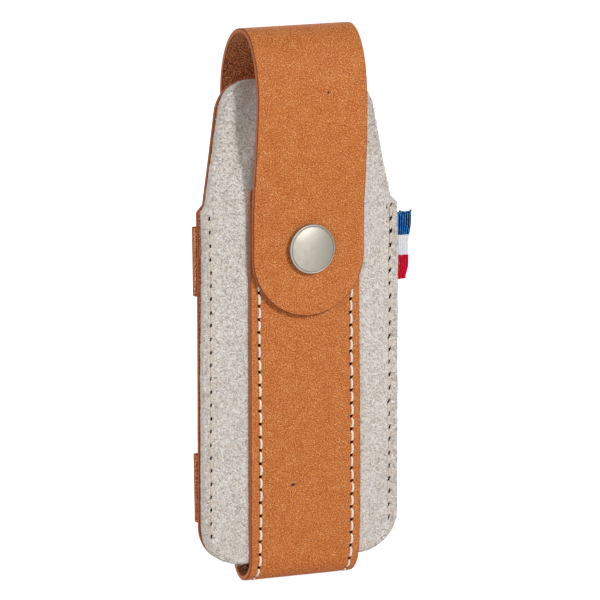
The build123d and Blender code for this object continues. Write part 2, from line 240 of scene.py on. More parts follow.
def strip(name, outline, columns, thickness, place, materials, normals=None, rounding=0.22, support=0.3,
          closed=(True, True), shift=(0.0, 0.0), merge=0.002, behind=None, **given):
    """A sheet of some thickness whose right edge is the outline and whose left edge mirrors it.

    place(x, s, depth) turns flat coordinates into millimetres. Depth goes from the outer face inwards.
    The three materials are those of the outer face, the cut edge and the inner face.
    """
    normals = inward(outline) if normals is None else normals
    rows = list(zip(outline, normals, np.zeros(len(outline))))
    for wanted, way in zip(closed, (1, -1)):
        if wanted:
            rows = close_end(rows, outline, rounding, way)
    outline, normals, squeeze = (np.array(part) for part in zip(*rows))
    ring = np.array(cut_ring(thickness, rounding, support, behind))
    inset, depth = ring.T
    n_rows, n_cols, n_ring = len(outline), len(columns), len(ring)
    base = outline + normals * inset[0]
    base[:, 1] = np.maximum.accumulate(base[:, 1])
    outer_x = columns * base[:, :1]
    outer_s = np.repeat(base[:, 1:], n_cols, axis=1)
    ring_x = outline[:, :1] + normals[:, :1] * inset
    ring_s = outline[:, 1:] + normals[:, 1:] * inset
    flat_x = np.concatenate([outer_x, ring_x, outer_x[:, ::-1], -ring_x[:, ::-1]], axis=1)
    flat_s = np.concatenate([outer_s, ring_s, outer_s, ring_s[:, ::-1]], axis=1)
    flat_d = np.concatenate([np.zeros(n_cols), depth, np.full(n_cols, thickness), depth[::-1]])
    flat_d = squeeze[:, None] + flat_d * (thickness - 2 * squeeze[:, None]) / thickness
    n = flat_x.shape[1]
    flat_x, flat_s, flat_d = flat_x.ravel(), flat_s.ravel(), flat_d.ravel()
    points = place(flat_x, flat_s, flat_d)

    kind = np.zeros(n, int)
    kind[n_cols + 1:n_cols + n_ring - 2] = 1
    kind[n_cols + n_ring - 2:2 * n_cols + n_ring + 1] = 2
    kind[2 * n_cols + n_ring + 1:n - 2] = 1
    quads = ring_faces(n_rows, n)
    index = np.tile(kind, n_rows - 1)
    u, v = flat_x + shift[0], flat_s + shift[1]
    corner = quads.ravel()
    uv = np.stack([np.where(np.repeat(index, 4) == 1, flat_d[corner], u[corner]), v[corner]], axis=1)
    faces, index, uv = quads.tolist(), list(index), list(uv)

    # The cut face at an end lies between the upper and the lower half of its last ring.
    left = list(range(2 * n_cols + n_ring, n))
    top = left[n_ring // 2:] + list(range(n_cols + n_ring // 2))
    low = left[:n_ring // 2][::-1] + list(range(2 * n_cols + n_ring - 1, n_cols + n_ring // 2 - 1, -1))
    for wanted, row in zip(closed, (0, n_rows - 1)):
        for a in range(len(top) - 1) if wanted else ():
            quad = [row * n + q for q in (top[a], top[a + 1], low[a + 1], low[a])]
            faces.append(quad)
            index.append(1)
            uv += [(flat_d[q], u[q]) for q in quad]
    return make(name, points, faces, materials, index, uv, merge=merge, **given)


def leather(name, outline, columns, place, cut, **given):
    return strip(name, outline, columns, LEATHER, place, [TAN, cut, INNER], slot="leather", **given)


class Path:
    """A run of a sheet's outer face, in the plane of two axes, with its outward normals."""

    def __init__(self, points, across, out=1.0):
        points = np.asarray(points, float)
        points = points[np.diff(travelled(points), prepend=-1) > 1e-7]
        length = travelled(points)
        self.length = float(length[-1])
        self.s = np.linspace(0, self.length, int(self.length / 0.08) + 2)
        self.p = np.stack([np.interp(self.s, length, points[:, a]) for a in (0, 1)], axis=1)
        d = np.gradient(self.p, self.s, axis=0)
        padded = np.pad(d, ((4, 4), (0, 0)), "edge")
        d = unit(np.stack([np.convolve(padded[:, a], np.ones(9) / 9, "valid") for a in (0, 1)], axis=1))
        self.n = np.stack([d[:, 1], -d[:, 0]], axis=1) * out
        self.across = across

    def at(self, x, s, height):
        """The point x across and s along the run, at a height over the outer face."""
        a, b = (np.interp(s, self.s, self.p[:, k]) + height * np.interp(s, self.s, self.n[:, k]) for k in (0, 1))
        return xyz(x, a, b) if self.across == "X" else xyz(a, b, x)

    def s_at(self, axis, value, after=0.0):
        """Where the run first reaches a value of the first or second axis."""
        p = self.p[:, axis] - value
        return float(self.s[1:][(self.s[1:] > after) & (p[:-1] * p[1:] <= 0)][0])


def srgb(r, g, b):
    """A colour of 0 to 255 as Blender's linear values."""
    def line(c):
        c /= 255
        return c / 12.92 if c <= 0.04045 else ((c + 0.055) / 1.055) ** 2.4
    return (line(r), line(g), line(b), 1.0)


def darker(colour, share):
    return tuple(c * share for c in colour[:3]) + (1,)


# ---- materials

class Nodes:
    """Adds nodes to a tree. An input is a value or the output of another node."""

    def __init__(self, tree):
        self.tree = tree

    def node(self, kind, out=0, inputs=None, **settings):
        n = self.tree.nodes.new("ShaderNode" + kind)
        for key, value in settings.items():
            setattr(n, key, value)
        for key, value in (inputs or {}).items():
            if isinstance(value, bpy.types.NodeSocket):
                self.tree.links.new(value, n.inputs[key])
            else:
                n.inputs[key].default_value = value
        return n.outputs[out]

    def math(self, operation, a, b=0.0):
        return self.node("Math", inputs={0: a, 1: b}, operation=operation)

    def times(self, a, b):
        return self.math("MULTIPLY", a, b)

    def plus(self, a, b):
        return self.math("ADD", a, b)

    def seen(self):
        """1 for rays that look at the thing itself, 0 for those that gather light."""
        rays = self.tree.nodes.new("ShaderNodeLightPath").outputs
        direct = self.math("MAXIMUM", rays["Is Camera Ray"], rays["Is Glossy Ray"])
        return self.math("MAXIMUM", direct, rays["Is Transmission Ray"])


class Material(Nodes):
    def __init__(self, name, roughness, specular=0.5, **values):
        self.material = bpy.data.materials.new(name)
        self.material.use_nodes = True
        super().__init__(self.material.node_tree)
        self.shader = self.tree.nodes["Principled BSDF"]
        values |= {"Roughness": roughness, "Specular_IOR_Level": specular}
        for key, value in values.items():
            self.shader.inputs[key.replace("_", " ")].default_value = value

    def flat(self):
        """The sheet's own flat coordinates, in millimetres."""
        return self.node("UVMap", uv_map="flat")

    def solid(self):
        """Object coordinates in millimetres."""
        metres = self.node("TexCoord", out="Object")
        return self.node("VectorMath", inputs={0: metres, 3: 1000.0}, operation="SCALE")

    def axis(self, vector, which):
        return self.node("SeparateXYZ", out=which, inputs={0: vector})

    def mapped(self, vector, turn=0.0, scale=(1, 1), move=(0, 0)):
        """The vector turned first and then scaled, so that a stretched pattern lies at that turn."""
        inputs = {"Vector": vector, "Rotation": (0, 0, turn), "Scale": (1 / scale[0], 1 / scale[1], 1),
                  "Location": (*move, 0)}
        return self.node("Mapping", inputs=inputs, vector_type="TEXTURE")

    def noise(self, vector, scale, detail=2.0, rough=0.5, distortion=0.0):
        inputs = {"Vector": vector, "Scale": scale, "Detail": detail, "Roughness": rough, "Distortion": distortion}
        return self.node("TexNoise", inputs=inputs)

    def range(self, value, low, high, to_low=0.0, to_high=1.0):
        inputs = {"Value": value, "From Min": low, "From Max": high, "To Min": to_low, "To Max": to_high}
        return self.node("MapRange", inputs=inputs)

    def mix(self, factor, a, b):
        return self.node("MixRGB", inputs={"Fac": factor, "Color1": a, "Color2": b})

    def layer(self, colour, value, low, high, tint, to_low=0.0, to_high=1.0):
        """The colour under a tint, whose share goes with the value."""
        return self.mix(self.range(value, low, high, to_low, to_high), colour, tint)

    def link(self, name, socket):
        self.tree.links.new(socket, self.shader.inputs[name])

    def finished(self, colour, height, relief):
        """The material with its colour and its fine relief, in millimetres."""
        self.link("Base Color", colour)
        self.link("Normal", self.node("Bump", inputs={"Height": height, "Distance": relief * MM, "Strength": 1.0}))
        return self.material


def leather_face(name, base, light, dark, fleck, pits, roughness=0.62, contrast=1.0, relief=0.045, size=1.0,
                 marks=()):
    """Bonded leather: a fine speckle, short pale fibres that lie every way, dark pits and a few marks."""
    m = Material(name, roughness, 0.22)
    flat = m.mapped(m.flat(), 0.0, (1 / size, 1 / size))
    grain = m.noise(flat, 2.7, 1.5, 0.7)
    coarse = m.noise(flat, 1.1, 3.0, 0.6)
    cloud = m.noise(flat, 0.22, 4.0, 0.6)
    colour = m.layer(dark, grain, 0.51 - 0.11 / contrast, 0.51, base)
    colour = m.layer(colour, grain, 0.52, 0.52 + 0.14 / contrast, light)
    colour = m.layer(colour, coarse, 0.34, 0.50, dark, 0.45, 0.0)
    colour = m.layer(colour, cloud, 0.42, 0.68, light, 0.0, 0.15)
    fibres = 0.0
    for turn, move in ((0.35, 0), (1.4, 31), (2.5, 57), (0.95, 83), (2.0, 111)):
        along = m.mapped(flat, turn, (1.7, 4.4), (move, move))
        fibres = m.math("MAXIMUM", fibres, m.range(m.noise(along, 1.0, 1.0, 0.5), 0.69, 0.755))
    thick = m.range(cloud, 0.38, 0.60, 0.5, 1.0)
    colour = m.mix(m.times(fibres, thick), colour, fleck)
    pit = m.range(m.noise(m.mapped(flat, 0.8, move=(91, 17)), 2.6, 1.0), 0.24, 0.33, 1.0, 0.0)
    colour = m.mix(m.times(pit, 0.9), colour, pits)
    for u, v, wide, high in marks:
        spot = m.mapped(flat, 0.0, (1 / wide, 1 / high), (u, v))
        away = m.node("VectorMath", out=1, inputs={0: spot}, operation="LENGTH")
        colour = m.layer(colour, away, 0.6, 1.1, srgb(52, 14, 14), 1.0, 0.0)
    height = m.plus(m.range(grain, 0.3, 0.7), m.times(fibres, 0.4))
    height = m.math("SUBTRACT", height, m.times(pit, 0.8))
    m.link("Roughness", m.range(grain, 0.3, 0.7, roughness + 0.08, roughness - 0.08))
    return m.finished(colour, height, relief)


def leather_cut(name, middle, border, stain=0.44):
    """The cut edge: fibres in the middle, darker stained lines along both faces. u is the depth."""
    m = Material(name, 0.75, 0.25)
    flat = m.flat()
    fibre = m.noise(m.mapped(flat, 0.0, (4.0, 1.6)), 1.0, 3.0, 0.6)
    rim = m.math("ABSOLUTE", m.math("SUBTRACT", m.axis(flat, 0), LEATHER / 2))
    rim = m.plus(rim, m.range(m.noise(flat, 0.8, 2.0), 0.3, 0.7, -0.16, 0.16))
    colour = m.layer(middle, fibre, 0.35, 0.65, darker(middle, 0.6))
    return m.finished(m.layer(colour, rim, stain, stain + 0.22, border), fibre, 0.08)


def felt_wool(name):
    """Pressed wool: a pale ground under short hairs, most pale, many grey and a few brown."""
    m = Material(name, 0.95, 0.1, Sheen_Weight=0.15, Sheen_Roughness=0.6)
    flat = m.flat()
    cloud = m.noise(flat, 0.13, 4.0, 0.6)
    speck = m.noise(flat, 2.4, 2.0, 0.7)
    warm = m.noise(m.mapped(flat, move=(31, 7)), 0.75, 4.0, 0.75, 0.8)
    patch = m.noise(m.mapped(flat, 0.7, (0.13, 0.34), (53, 19)), 1.0, 3.0, 0.6, 0.6)
    dots = m.noise(m.mapped(flat, move=(67, 43)), 2.3, 1.5, 0.6)
    colour = m.layer(srgb(233, 230, 223), cloud, 0.34, 0.66, srgb(226, 220, 209))
    colour = m.layer(colour, warm, 0.51, 0.68, srgb(210, 184, 163), 0.0, 0.5)
    colour = m.layer(colour, patch, 0.50, 0.66, srgb(206, 186, 168), 0.0, 0.45)
    # Painted shade: a warm brown contact shadow on the felt along the strap's left edge, fading out just below the
    # strap's end.
    across = m.axis(flat, 0)
    painted_contact_shade = m.range(m.plus(across, m.range(warm, 0.3, 0.7, -0.5, 0.5)), -19.9, -18.9, 0.0, 0.55)
    painted_contact_shade = m.times(painted_contact_shade, m.range(across, -18.2, -17.8, 1.0, 0.0))
    painted_contact_shade = m.times(painted_contact_shade, m.range(m.axis(flat, 1), 114.0, 120.0, 1.0, 0.0))
    colour = m.mix(painted_contact_shade, colour, srgb(168, 120, 88))
    for value, low, high, tint, to_low, to_high in (
            (speck, 0.34, 0.50, (186, 168, 154), 0.52, 0.0), (speck, 0.52, 0.68, (250, 247, 242), 0.0, 0.65),
            (dots, 0.34, 0.46, (92, 64, 44), 0.2, 0.0), (dots, 0.56, 0.64, (255, 255, 254), 0.0, 0.6)):
        colour = m.layer(colour, value, low, high, srgb(*tint), to_low, to_high)
    height = speck
    pale, grey, brown = srgb(253, 251, 248), srgb(168, 152, 138), srgb(140, 98, 76)
    hairs = ((-0.75, 0, 0.66, 3.24, 0.57, 0.66, 0.85, pale), (-1.15, 23, 0.72, 3.6, 0.58, 0.67, 0.65, grey),
             (-0.35, 41, 0.66, 3.6, 0.59, 0.67, 0.65, grey), (0.9, 57, 0.6, 3.36, 0.60, 0.67, 0.7, pale),
             (-1.5, 79, 0.6, 3.12, 0.61, 0.68, 0.7, pale), (-0.9, 97, 0.84, 4.08, 0.63, 0.70, 0.75, brown),
             (0.6, 113, 0.72, 3.6, 0.61, 0.68, 0.65, grey), (0.2, 131, 0.84, 4.08, 0.66, 0.72, 0.75, brown))
    for turn, move, length, width, low, high, strength, tint in hairs:
        along = m.mapped(flat, turn, (length, width), (move, move))
        hair = m.range(m.noise(along, 1.0, 1.5, 0.5, 0.35), low, high)
        colour = m.mix(m.times(hair, strength), colour, tint)
        height = m.plus(height, m.times(hair, 0.35))
    return m.finished(colour, height, 0.22)


def thread_fibre(name, colour, shade):
    """Two plies laid around each other. u runs two millimetres around the thread and v along it."""
    m = Material(name, 0.7, 0.3, Sheen_Weight=0.2)
    flat = m.flat()
    around = m.times(m.axis(flat, 0), 2 * math.pi)
    ply = m.math("SINE", m.plus(around, m.times(m.axis(flat, 1), 2 * math.pi / 0.8)))
    fine = m.noise(m.mapped(flat, 0.5, (1.0, 6.0)), 3.0, 2.0)
    colour = m.layer(colour, fine, 0.4, 0.75, shade, 0.0, 0.6)
    # Painted shade: the groove between the two plies is darkened.
    colour = m.layer(colour, ply, -1.0, -0.6, darker(shade, 0.5), 0.7, 0.0)
    return m.finished(colour, m.plus(ply, fine), 0.04)


def ribbon_weave(name, middle):
    """Three woven bands by their height, with ribs across the ribbon. v runs along it."""
    m = Material(name, 0.55, 0.1)
    flat = m.flat()
    height = m.math("SUBTRACT", m.axis(m.solid(), 2), middle)
    stray = m.noise(m.mapped(flat, 0.0, (0.2, 3.0)), 1.0, 1.0)
    height = m.plus(height, m.range(stray, 0.3, 0.7, -0.12, 0.12))
    yarn = m.range(m.noise(m.mapped(flat, 0.0, (0.9, 4.5)), 1.0, 2.0), 0.35, 0.65)
    rib = m.math("COSINE", m.times(m.axis(flat, 1), 2 * math.pi / RIB))
    # Painted shade: the grooves between the ribs are darkened, most on the blue band.
    groove = m.range(rib, -0.9, 0.45, 1.0, 0.0)

    def band(shadow, low, high, dark):
        return m.mix(shadow, m.mix(yarn, srgb(*low), srgb(*high)), srgb(*dark))

    red = band(m.times(groove, 0.6), (188, 0, 30), (255, 22, 64), (84, 0, 12))
    white = band(m.times(groove, 0.4), (228, 226, 232), (254, 253, 255), (140, 136, 152))
    blue = band(m.range(rib, 0.2, 0.65, 1.0, 0.0), (0, 54, 158), (66, 170, 255), (0, 0, 4))
    colour = m.mix(m.math("GREATER_THAN", height, -2.9), red, white)
    colour = m.mix(m.math("GREATER_THAN", height, 3.3), colour, blue)
    picks = m.math("SINE", m.times(height, 2 * math.pi / 0.34))
    return m.finished(colour, m.plus(m.times(yarn, 1.5), m.times(picks, 0.6)), 0.04)


def satin_metal(name, colour, roughness):
    """Plated metal with a satin grain, a few specks, and painted shade that darkens it towards the right."""
    m = Material(name, roughness, Metallic=1.0)
    solid = m.solid()
    cloud = m.noise(solid, 0.5, 3.0)
    fine = m.noise(solid, 7.0, 3.0, 0.6)
    speck = m.range(m.noise(solid, 2.6, 2.0), 0.66, 0.72)
    tone_and_painted_shade = m.layer(colour, cloud, 0.35, 0.65, darker(colour, 0.88))
    # Painted shade: the metal darkens towards its right side, in place of a darker reflection there.
    tone_and_painted_shade = m.layer(tone_and_painted_shade, m.axis(solid, 0), -4.0, 6.5, darker(colour, 0.62), 0.0, 0.85)
    m.link("Roughness", m.range(fine, 0.3, 0.7, roughness - 0.06, roughness + 0.1))
    return m.finished(m.mix(m.times(speck, 0.35), tone_and_painted_shade, srgb(120, 108, 92)), fine, 0.006)


# Two dark marks, on strap and flap, as (u, v, half width, half height) in flat coordinates.
MARKS = ((-4.40, 91.95, 0.80, 0.46), (65.1, 107.3, 0.42, 0.46))
TAN = leather_face("tan_leather", srgb(192, 109, 46), srgb(225, 148, 82), srgb(151, 63, 11), srgb(255, 228, 158),
                   srgb(104, 26, 0), marks=MARKS)
INNER = leather_face("leather_inner_side", srgb(188, 97, 53), srgb(255, 190, 132), srgb(112, 49, 22),
                     srgb(255, 246, 212), srgb(84, 34, 14), 0.8, 1.4, 0.07, 1.3)
CUT = leather_cut("cut_leather", srgb(222, 132, 78), srgb(130, 60, 42))
ARCH_CUT = leather_cut("arch_cut_leather", srgb(196, 114, 68), srgb(112, 52, 36))
BACK_CUT = leather_cut("stained_cut_leather", srgb(190, 106, 64), srgb(104, 44, 28), 0.38)
WOOL = felt_wool("wool_felt")
CREAM = thread_fibre("cream_thread", srgb(252, 246, 234), srgb(228, 216, 198))
BEIGE = thread_fibre("beige_thread", srgb(240, 230, 212), srgb(176, 136, 104))
WEAVE = ribbon_weave("tricolour_ribbon", RIBBON_MIDDLE + SHIFT[2])
NICKEL = satin_metal("satin_nickel", srgb(168, 163, 153), 0.47)
STEEL = satin_metal("spring_steel", srgb(190, 190, 190), 0.25)
# Painted shade: the needle holes' near-black colour stands in for the shadow inside each hole.
hole = Material("needle_hole_painted_shade", 0.9, 0.1)
hole.link("Base Color", hole.mix(hole.noise(hole.solid(), 3.0, 2.0), srgb(8, 5, 4), srgb(30, 18, 13)))
HOLE_SHADE = hole.material


# ---- camera, light, floor

AZIMUTH = math.radians(25.96)
ELEVATION = math.radians(8.79)
to_camera = Vector((-math.sin(AZIMUTH) * math.cos(ELEVATION), -math.cos(AZIMUTH) * math.cos(ELEVATION),
                    math.sin(ELEVATION)))
right = Vector((math.cos(AZIMUTH), -math.sin(AZIMUTH), 0))
up = to_camera.cross(right)
aim = Vector((0, -9.4, 21.62)) * MM - right * 0.40 * MM
camera = added("camera", bpy.data.cameras.new("camera"))
camera.data.lens = 271.4
camera.data.clip_start = 0.05
camera.data.clip_end = 50
turn = Matrix((right, up, to_camera)).transposed().to_4x4()
camera.matrix_world = Matrix.Translation(aim + to_camera * 1.384) @ turn
bpy.context.scene.camera = camera


def lamp(name, place, size, watts):
    """A square lamp that faces the part."""
    data = bpy.data.lights.new(name, "AREA")
    data.shape, data.size, data.energy = "SQUARE", size, watts
    obj = added(name, data)
    obj.location = place
    obj.rotation_euler = (-Vector(place)).to_track_quat("-Z", "Y").to_euler()


lamp("key", (0.491, -1.970, 0.96), 0.30, 27.4)
lamp("fill", (-0.95, -0.85, 0.45), 0.9, 2.0)
lamp("side", (-1.3, 0.4, 0.4), 0.5, 5.0)
lamp("back", (0.3, 1.1, 0.7), 0.9, 3.6)

# The world gives a soft light and is seen as plain white.
world = bpy.data.worlds.new("studio")
bpy.context.scene.world = world
world.use_nodes = True
world.node_tree.nodes.clear()
studio = Nodes(world.node_tree)
soft, white = (studio.node("Background", inputs={"Color": (1, 1, 1, 1), "Strength": s}) for s in (0.31, 1.0))
mixed = studio.node("MixShader", inputs={"Fac": studio.seen(), 1: soft, 2: white})
studio.tree.links.new(mixed, studio.tree.nodes.new("ShaderNodeOutputWorld").inputs["Surface"])
bpy.context.scene.view_settings.view_transform = "Standard"

floor_mesh = bpy.data.meshes.new("floor")
low = -64.8 * MM
floor_mesh.from_pydata([(-6, -6, low), (6, -6, low), (6, 6, low), (-6, 6, low)], [], [(0, 1, 2, 3)])
floor = added("floor", floor_mesh)
ground = Material("pale_floor", 0.9, 0.0, Base_Color=(0.9, 0.9, 0.9, 1), Emission_Color=(1, 1, 1, 1))
ground.link("Emission Strength", ground.times(ground.seen(), 0.8))
floor_mesh.materials.append(ground.material)


# ---- the strap's runs

def curve(points, count=400):
    """A monotone curve through (z, y) points from the top down, as dense (y, z) points from below."""
    z, y = np.array(points[::-1], float).T
    h, slope = np.diff(z), np.diff(y) / np.diff(z)
    m = np.zeros(len(z))
    for i in range(1, len(z) - 1):
        if slope[i - 1] * slope[i] > 0:
            w1, w2 = 2 * h[i] + h[i - 1], h[i] + 2 * h[i - 1]
            m[i] = (w1 + w2) / (w1 / slope[i - 1] + w2 / slope[i])
    at = np.linspace(z[0], z[-1], count)
    k = np.clip(np.searchsorted(z, at) - 1, 0, len(h) - 1)
    t = (at - z[k]) / h[k]
    value = (2 * t**3 - 3 * t**2 + 1) * y[k] + (t**3 - 2 * t**2 + t) * h[k] * m[k]
    value += (-2 * t**3 + 3 * t**2) * y[k + 1] + (t**3 - t**2) * h[k] * m[k + 1]
    return np.stack([value, at], axis=1)


# The stitched run: down the front, round the curl and up the back to the upper band.
angles = np.linspace(math.pi, 2 * math.pi, 120)
curl = [(CURL_CENTRE[0] + CURL_RADIUS * math.cos(a), CURL_CENTRE[1] + CURL_RADIUS * math.sin(a)) for a in angles]
heights = np.linspace(CURL_CENTRE[1], 98.0, 800)
bow = BELT_ROOM * (smooth((heights - 40.9) / 7.0) - smooth((heights - 81.6) / 7.0))
back_run = list(zip(STRAP_BACK + bow, heights))
body_path = Path([(STRAP_FRONT, STRAP_END)] + curl + back_run[1:], "X")
curl_start = STRAP_END - CURL_CENTRE[1]

# The free run: up from the upper band, over the arch and down to the flap's round end.
heights = np.linspace(98.06, ARCH_Z, 500)
t = np.clip((heights - 114.5) / (ARCH_Z - 114.5), 0, 1)
rise = list(zip(STRAP_BACK + 10.7 * (t - np.sin(2 * math.pi * t) / (2 * math.pi)), heights))


def quarter(reach, power, angles):
    """One side of the arch, a quarter of a squarish ellipse."""
    return [(ARCH_Y + reach * math.cos(a) ** (2 / power), ARCH_Z + ARCH_RISE * math.sin(a) ** (2 / power))
            for a in angles]


angles = np.linspace(0, math.pi / 2, 200)[1:-1]
over = quarter(ARCH_BACK, 2.12, angles) + [(ARCH_Y, ARCH_Z + ARCH_RISE)] + quarter(-ARCH_FRONT, 2.06, angles[::-1])
over.append((ARCH_Y - ARCH_FRONT, ARCH_Z))
down = curve([(ARCH_Z, -8.3), (144.5, -8.28), (139.8, -8.08), (131.4, -7.45), (125.0, -6.72), (119.0, -5.98),
              (112.5, -5.45), (108.0, FLAP_OUTER), (100.0, FLAP_OUTER), (82.4, FLAP_OUTER)])[::-1]
top_path = Path(np.concatenate([rise, over, down[1:]]), "X")
split = top_path.s_at(1, 138.0)
disc = top_path.s_at(1, FLAP_CENTRE, after=60)
crest = float(top_path.s[np.argmax(top_path.p[:, 1])])


def near(values, places, width):
    """A bell that is 1 at each place."""
    return np.max([np.exp(-((values - p) / width) ** 2) for p in places], axis=0)


def dents(x, s, holes, width):
    """A round bell that is 1 at each hole."""
    total = np.zeros(len(x))
    for hx, hs in holes:
        close = (np.abs(s - hs) < 3 * width) & (np.abs(x - hx) < 3 * width)
        d2 = (x[close] - hx) ** 2 + (s[close] - hs) ** 2
        total[close] = np.maximum(total[close], np.exp(-d2 / width**2))
    return total


def wander(s):
    """The stitching and the right edge stray a little to the right above the curl."""
    return 0.5 * smooth((s - 30) / 62) * (1 - smooth((s - 98) / 24))


rng = np.random.default_rng(7)
strap_holes = {}
for side, x, first in ((-1, STITCH_LINES[0], 8.85), (1, STITCH_LINES[1], 9.0)):
    count = int((119.2 - first) / PITCH)
    along = [STRAP_END - (first + PITCH * k) for k in range(count, -1, -1)]
    while along[-1] + PITCH < curl_start + math.pi * CURL_RADIUS + 12.6:
        along.append(along[-1] + PITCH)
    strap_holes[side] = [(x + rng.uniform(-0.08, 0.08), s + rng.uniform(-0.08, 0.08)) for s in along]
strap_holes[-1] = [(x + wander(s) + 0.1, s) for x, s in strap_holes[-1]]


def strap_height(x, s):
    """How far the outer face of the stitched run stands from its plain shape."""
    h = 0.03 * lumps(x, s, 12.0, 3) + 0.01 * lumps(x, s, 2.3, 4)
    h -= 0.16 * smooth((150 - s) / 3) * near(x, STITCH_LINES, 0.9)
    h -= 0.26 * dents(x, s, strap_holes[-1] + strap_holes[1], 0.55)
    return h - 0.10 * smooth((np.abs(x) - 16.9) / 1.4)


def drift(s):
    """The strap turns round the bottom a little to the left."""
    return -0.62 * smooth((s - curl_start + 3) / 9) * (1 - smooth((s - curl_start - math.pi * CURL_RADIUS) / 11))


def cut_line(x, s):
    """How far the hand-cut strap strays from its pattern across its width."""
    share = 0.5 + 0.5 * np.clip(x / STRAP_HALF, -1, 1)
    front = 1 - smooth((s - 100) / 20)
    return wander(s) * share - 0.22 * front * (1 - share) + drift(s)


def strap_place(x, s, depth):
    return body_path.at(x + cut_line(x, s), s, strap_height(x, s) * (1 - depth / LEATHER) - depth)


columns = np.array([-17.6, -17.1, -16.7, -16.4, -16.15, -15.95, -15.8, -15.6, -15.4, -15.15, -14.8, -14.4])
columns = np.sort(np.concatenate([columns, np.linspace(-13.8, 13.8, 31), -columns])) / (STRAP_HALF - EDGE)
run_outline = rounded([(0, 0, 0), (STRAP_HALF, 0, 1.3), (STRAP_HALF, body_path.length, 0)], 0.42)[1:]
run_outline = run_outline[run_outline[:, 0] > STRAP_HALF - 1.31]
strap_run = leather("strap_run", run_outline, columns, strap_place, CUT, replaces=["carry_strap"])


def top_height(x, s):
    """The free part of the strap: soft waves, and a dent where the cap presses."""
    h = 0.03 * lumps(x, s, 14.0, 5) + 0.01 * lumps(x, s, 2.5, 6)
    h += 0.25 * (1 + x / STRAP_HALF) * near(s, (crest,), 16.0)
    r = np.hypot(x, s - (disc + FLAP_CENTRE - SNAP))
    return h - 0.16 * np.exp(-((r - 7.4) / 1.3) ** 2) * (s > disc - 30)


def top_place(x, s, depth):
    return top_path.at(x, s, top_height(x, s) - depth)


plain_columns = np.linspace(-1, 1, 41)[1:-1]
root_outline = rounded([(STRAP_HALF, 0, 0), (STRAP_HALF, split, 0)])
strap_root = leather("strap_root", root_outline, plain_columns, top_place, ARCH_CUT, closed=(True, False),
                     shift=(60, 0), body=None, replaces=["carry_strap"])

flare = [top_path.s_at(1, z, after=60) for z in (150.0, 122.0)]
side_line = rounded([(STRAP_HALF, split, 0), (STRAP_HALF, flare[0], 0), (FLAP_RADIUS - 0.02, flare[1], 0),
                     (FLAP_RADIUS, disc, 0)])
angles = np.linspace(0, math.pi / 2, 62)[1:]
tip = np.stack([FLAP_RADIUS * np.cos(angles), disc + FLAP_RADIUS * np.sin(angles)], axis=1)
tip[-1, 0] = 0
flap_outline = np.concatenate([side_line, tip])
flap_normals = inward(flap_outline)
flap_normals[-1] = (0, -1)
strap_flap = leather("strap_flap", flap_outline, plain_columns, top_place, ARCH_CUT, normals=flap_normals,
                     closed=(False, False), shift=(60, 0), body=None, replaces=["flap_arch", "flap_tongue"],
                     merge=0.004)


# ---- the two panels

panel_outline = rounded([(0, PANEL_FOOT, 0), (PANEL_HALF, PANEL_FOOT, 12.1), (PANEL_HALF, 114.7, 0.9),
                         (31.0, SHOULDER, 0.9), (24.6, MOUTH, 11.5), (0, MOUTH, 0)], 0.55)
low_corner = int(np.argmax(panel_outline[:, 0] > 20.4))
top_corner = len(panel_outline) - int(np.argmax(panel_outline[::-1, 0] > 12.4))
panel_outline = panel_outline[low_corner:top_corner]


def swell(x, z):
    """0 at the sides and 1 over the pocket, narrower towards the mouth."""
    t = np.clip((z - STRAP_END) / (154.3 - STRAP_END), 0, 1)
    flat = 18.6 - 13.6 * t
    run = 9.4 - 0.4 * t
    return smooth((flat + run - np.abs(x)) / run)


def lean(z):
    """How far the sides lean back towards the mouth."""
    return smooth((z - 100) / 22) + 2.4 * smooth((z - 112) / 60) + 0.5 * np.clip((z - 118) / 36, 0, 1)


def seam(x, z, width, inset=0.0):
    """A bell across each side seam, or that far inside it, between the seam's two ends."""
    return smooth((z - 12.5) / 2) * smooth((115.5 - z) / 2) * near(np.abs(x), (SIDE_SEAM - inset,), width)


felt_holes = {}
for side, first in ((-1, 15.1), (1, 15.8)):
    felt_holes[side] = []
    for k in range(25):
        z = first + SIDE_PITCH * k
        x = side * SIDE_SEAM + (0.72 * smooth((z - 93) / 21.0) if side > 0 else 0.0)
        felt_holes[side].append((x + rng.uniform(-0.12, 0.12), z + rng.uniform(-0.15, 0.15)))


def felt_shape(x, z):
    """Y of the felt's front face before stitches press it."""
    return lean(z) + (FELT_CROWN - lean(z)) * swell(x, z)


def felt_front(x, z):
    """Y of the felt's front face."""
    y = felt_shape(x, z) + 0.32 * seam(x, z, 0.75) - 0.12 * seam(x, z, 1.2, 2.6)
    y += 0.45 * dents(x, z, felt_holes[-1] + felt_holes[1], 0.7)
    y -= 0.30 * smooth((STRAP_END - 1 - z) / 4) * near(np.abs(x), (20.6,), 1.3)
    y += 0.07 * lumps(x, z, 3.1, 11) + 0.05 * lumps(x, z, 1.3, 12)
    return y


def wider(x):
    """The panels reach a little further at the right."""
    return 0.45 * smooth((x - 26) / 7)


def half_width(z):
    """Half the panels' width, narrower above the shoulder."""
    return PANEL_HALF - TAPER * np.clip((z - SHOULDER) / (MOUTH - SHOULDER), 0, 1)


def behind_edge(x, z):
    """The felt's left edge stands back from the leather's, more so higher up."""
    return (0.32 + 0.38 * smooth((z - 70) / 22.0)) * smooth((2.6 - half_width(z) - x) / 2.6)


def felt_place(x, z, depth):
    w = 1 - depth / FELT
    y = felt_front(x, z) * w + (felt_shape(x, z) + FELT) * (1 - w)
    fringe = 0.09 * lumps(x, z, 1.1, 13, depth * 2) + 0.12 * lumps(x, z, 4.0, 14)
    out = smooth((np.abs(x) - 22) / 8)
    return xyz(x + np.sign(x) * fringe * out + wider(x) + behind_edge(x, z), y, z + fringe * smooth((16 - z) / 8))


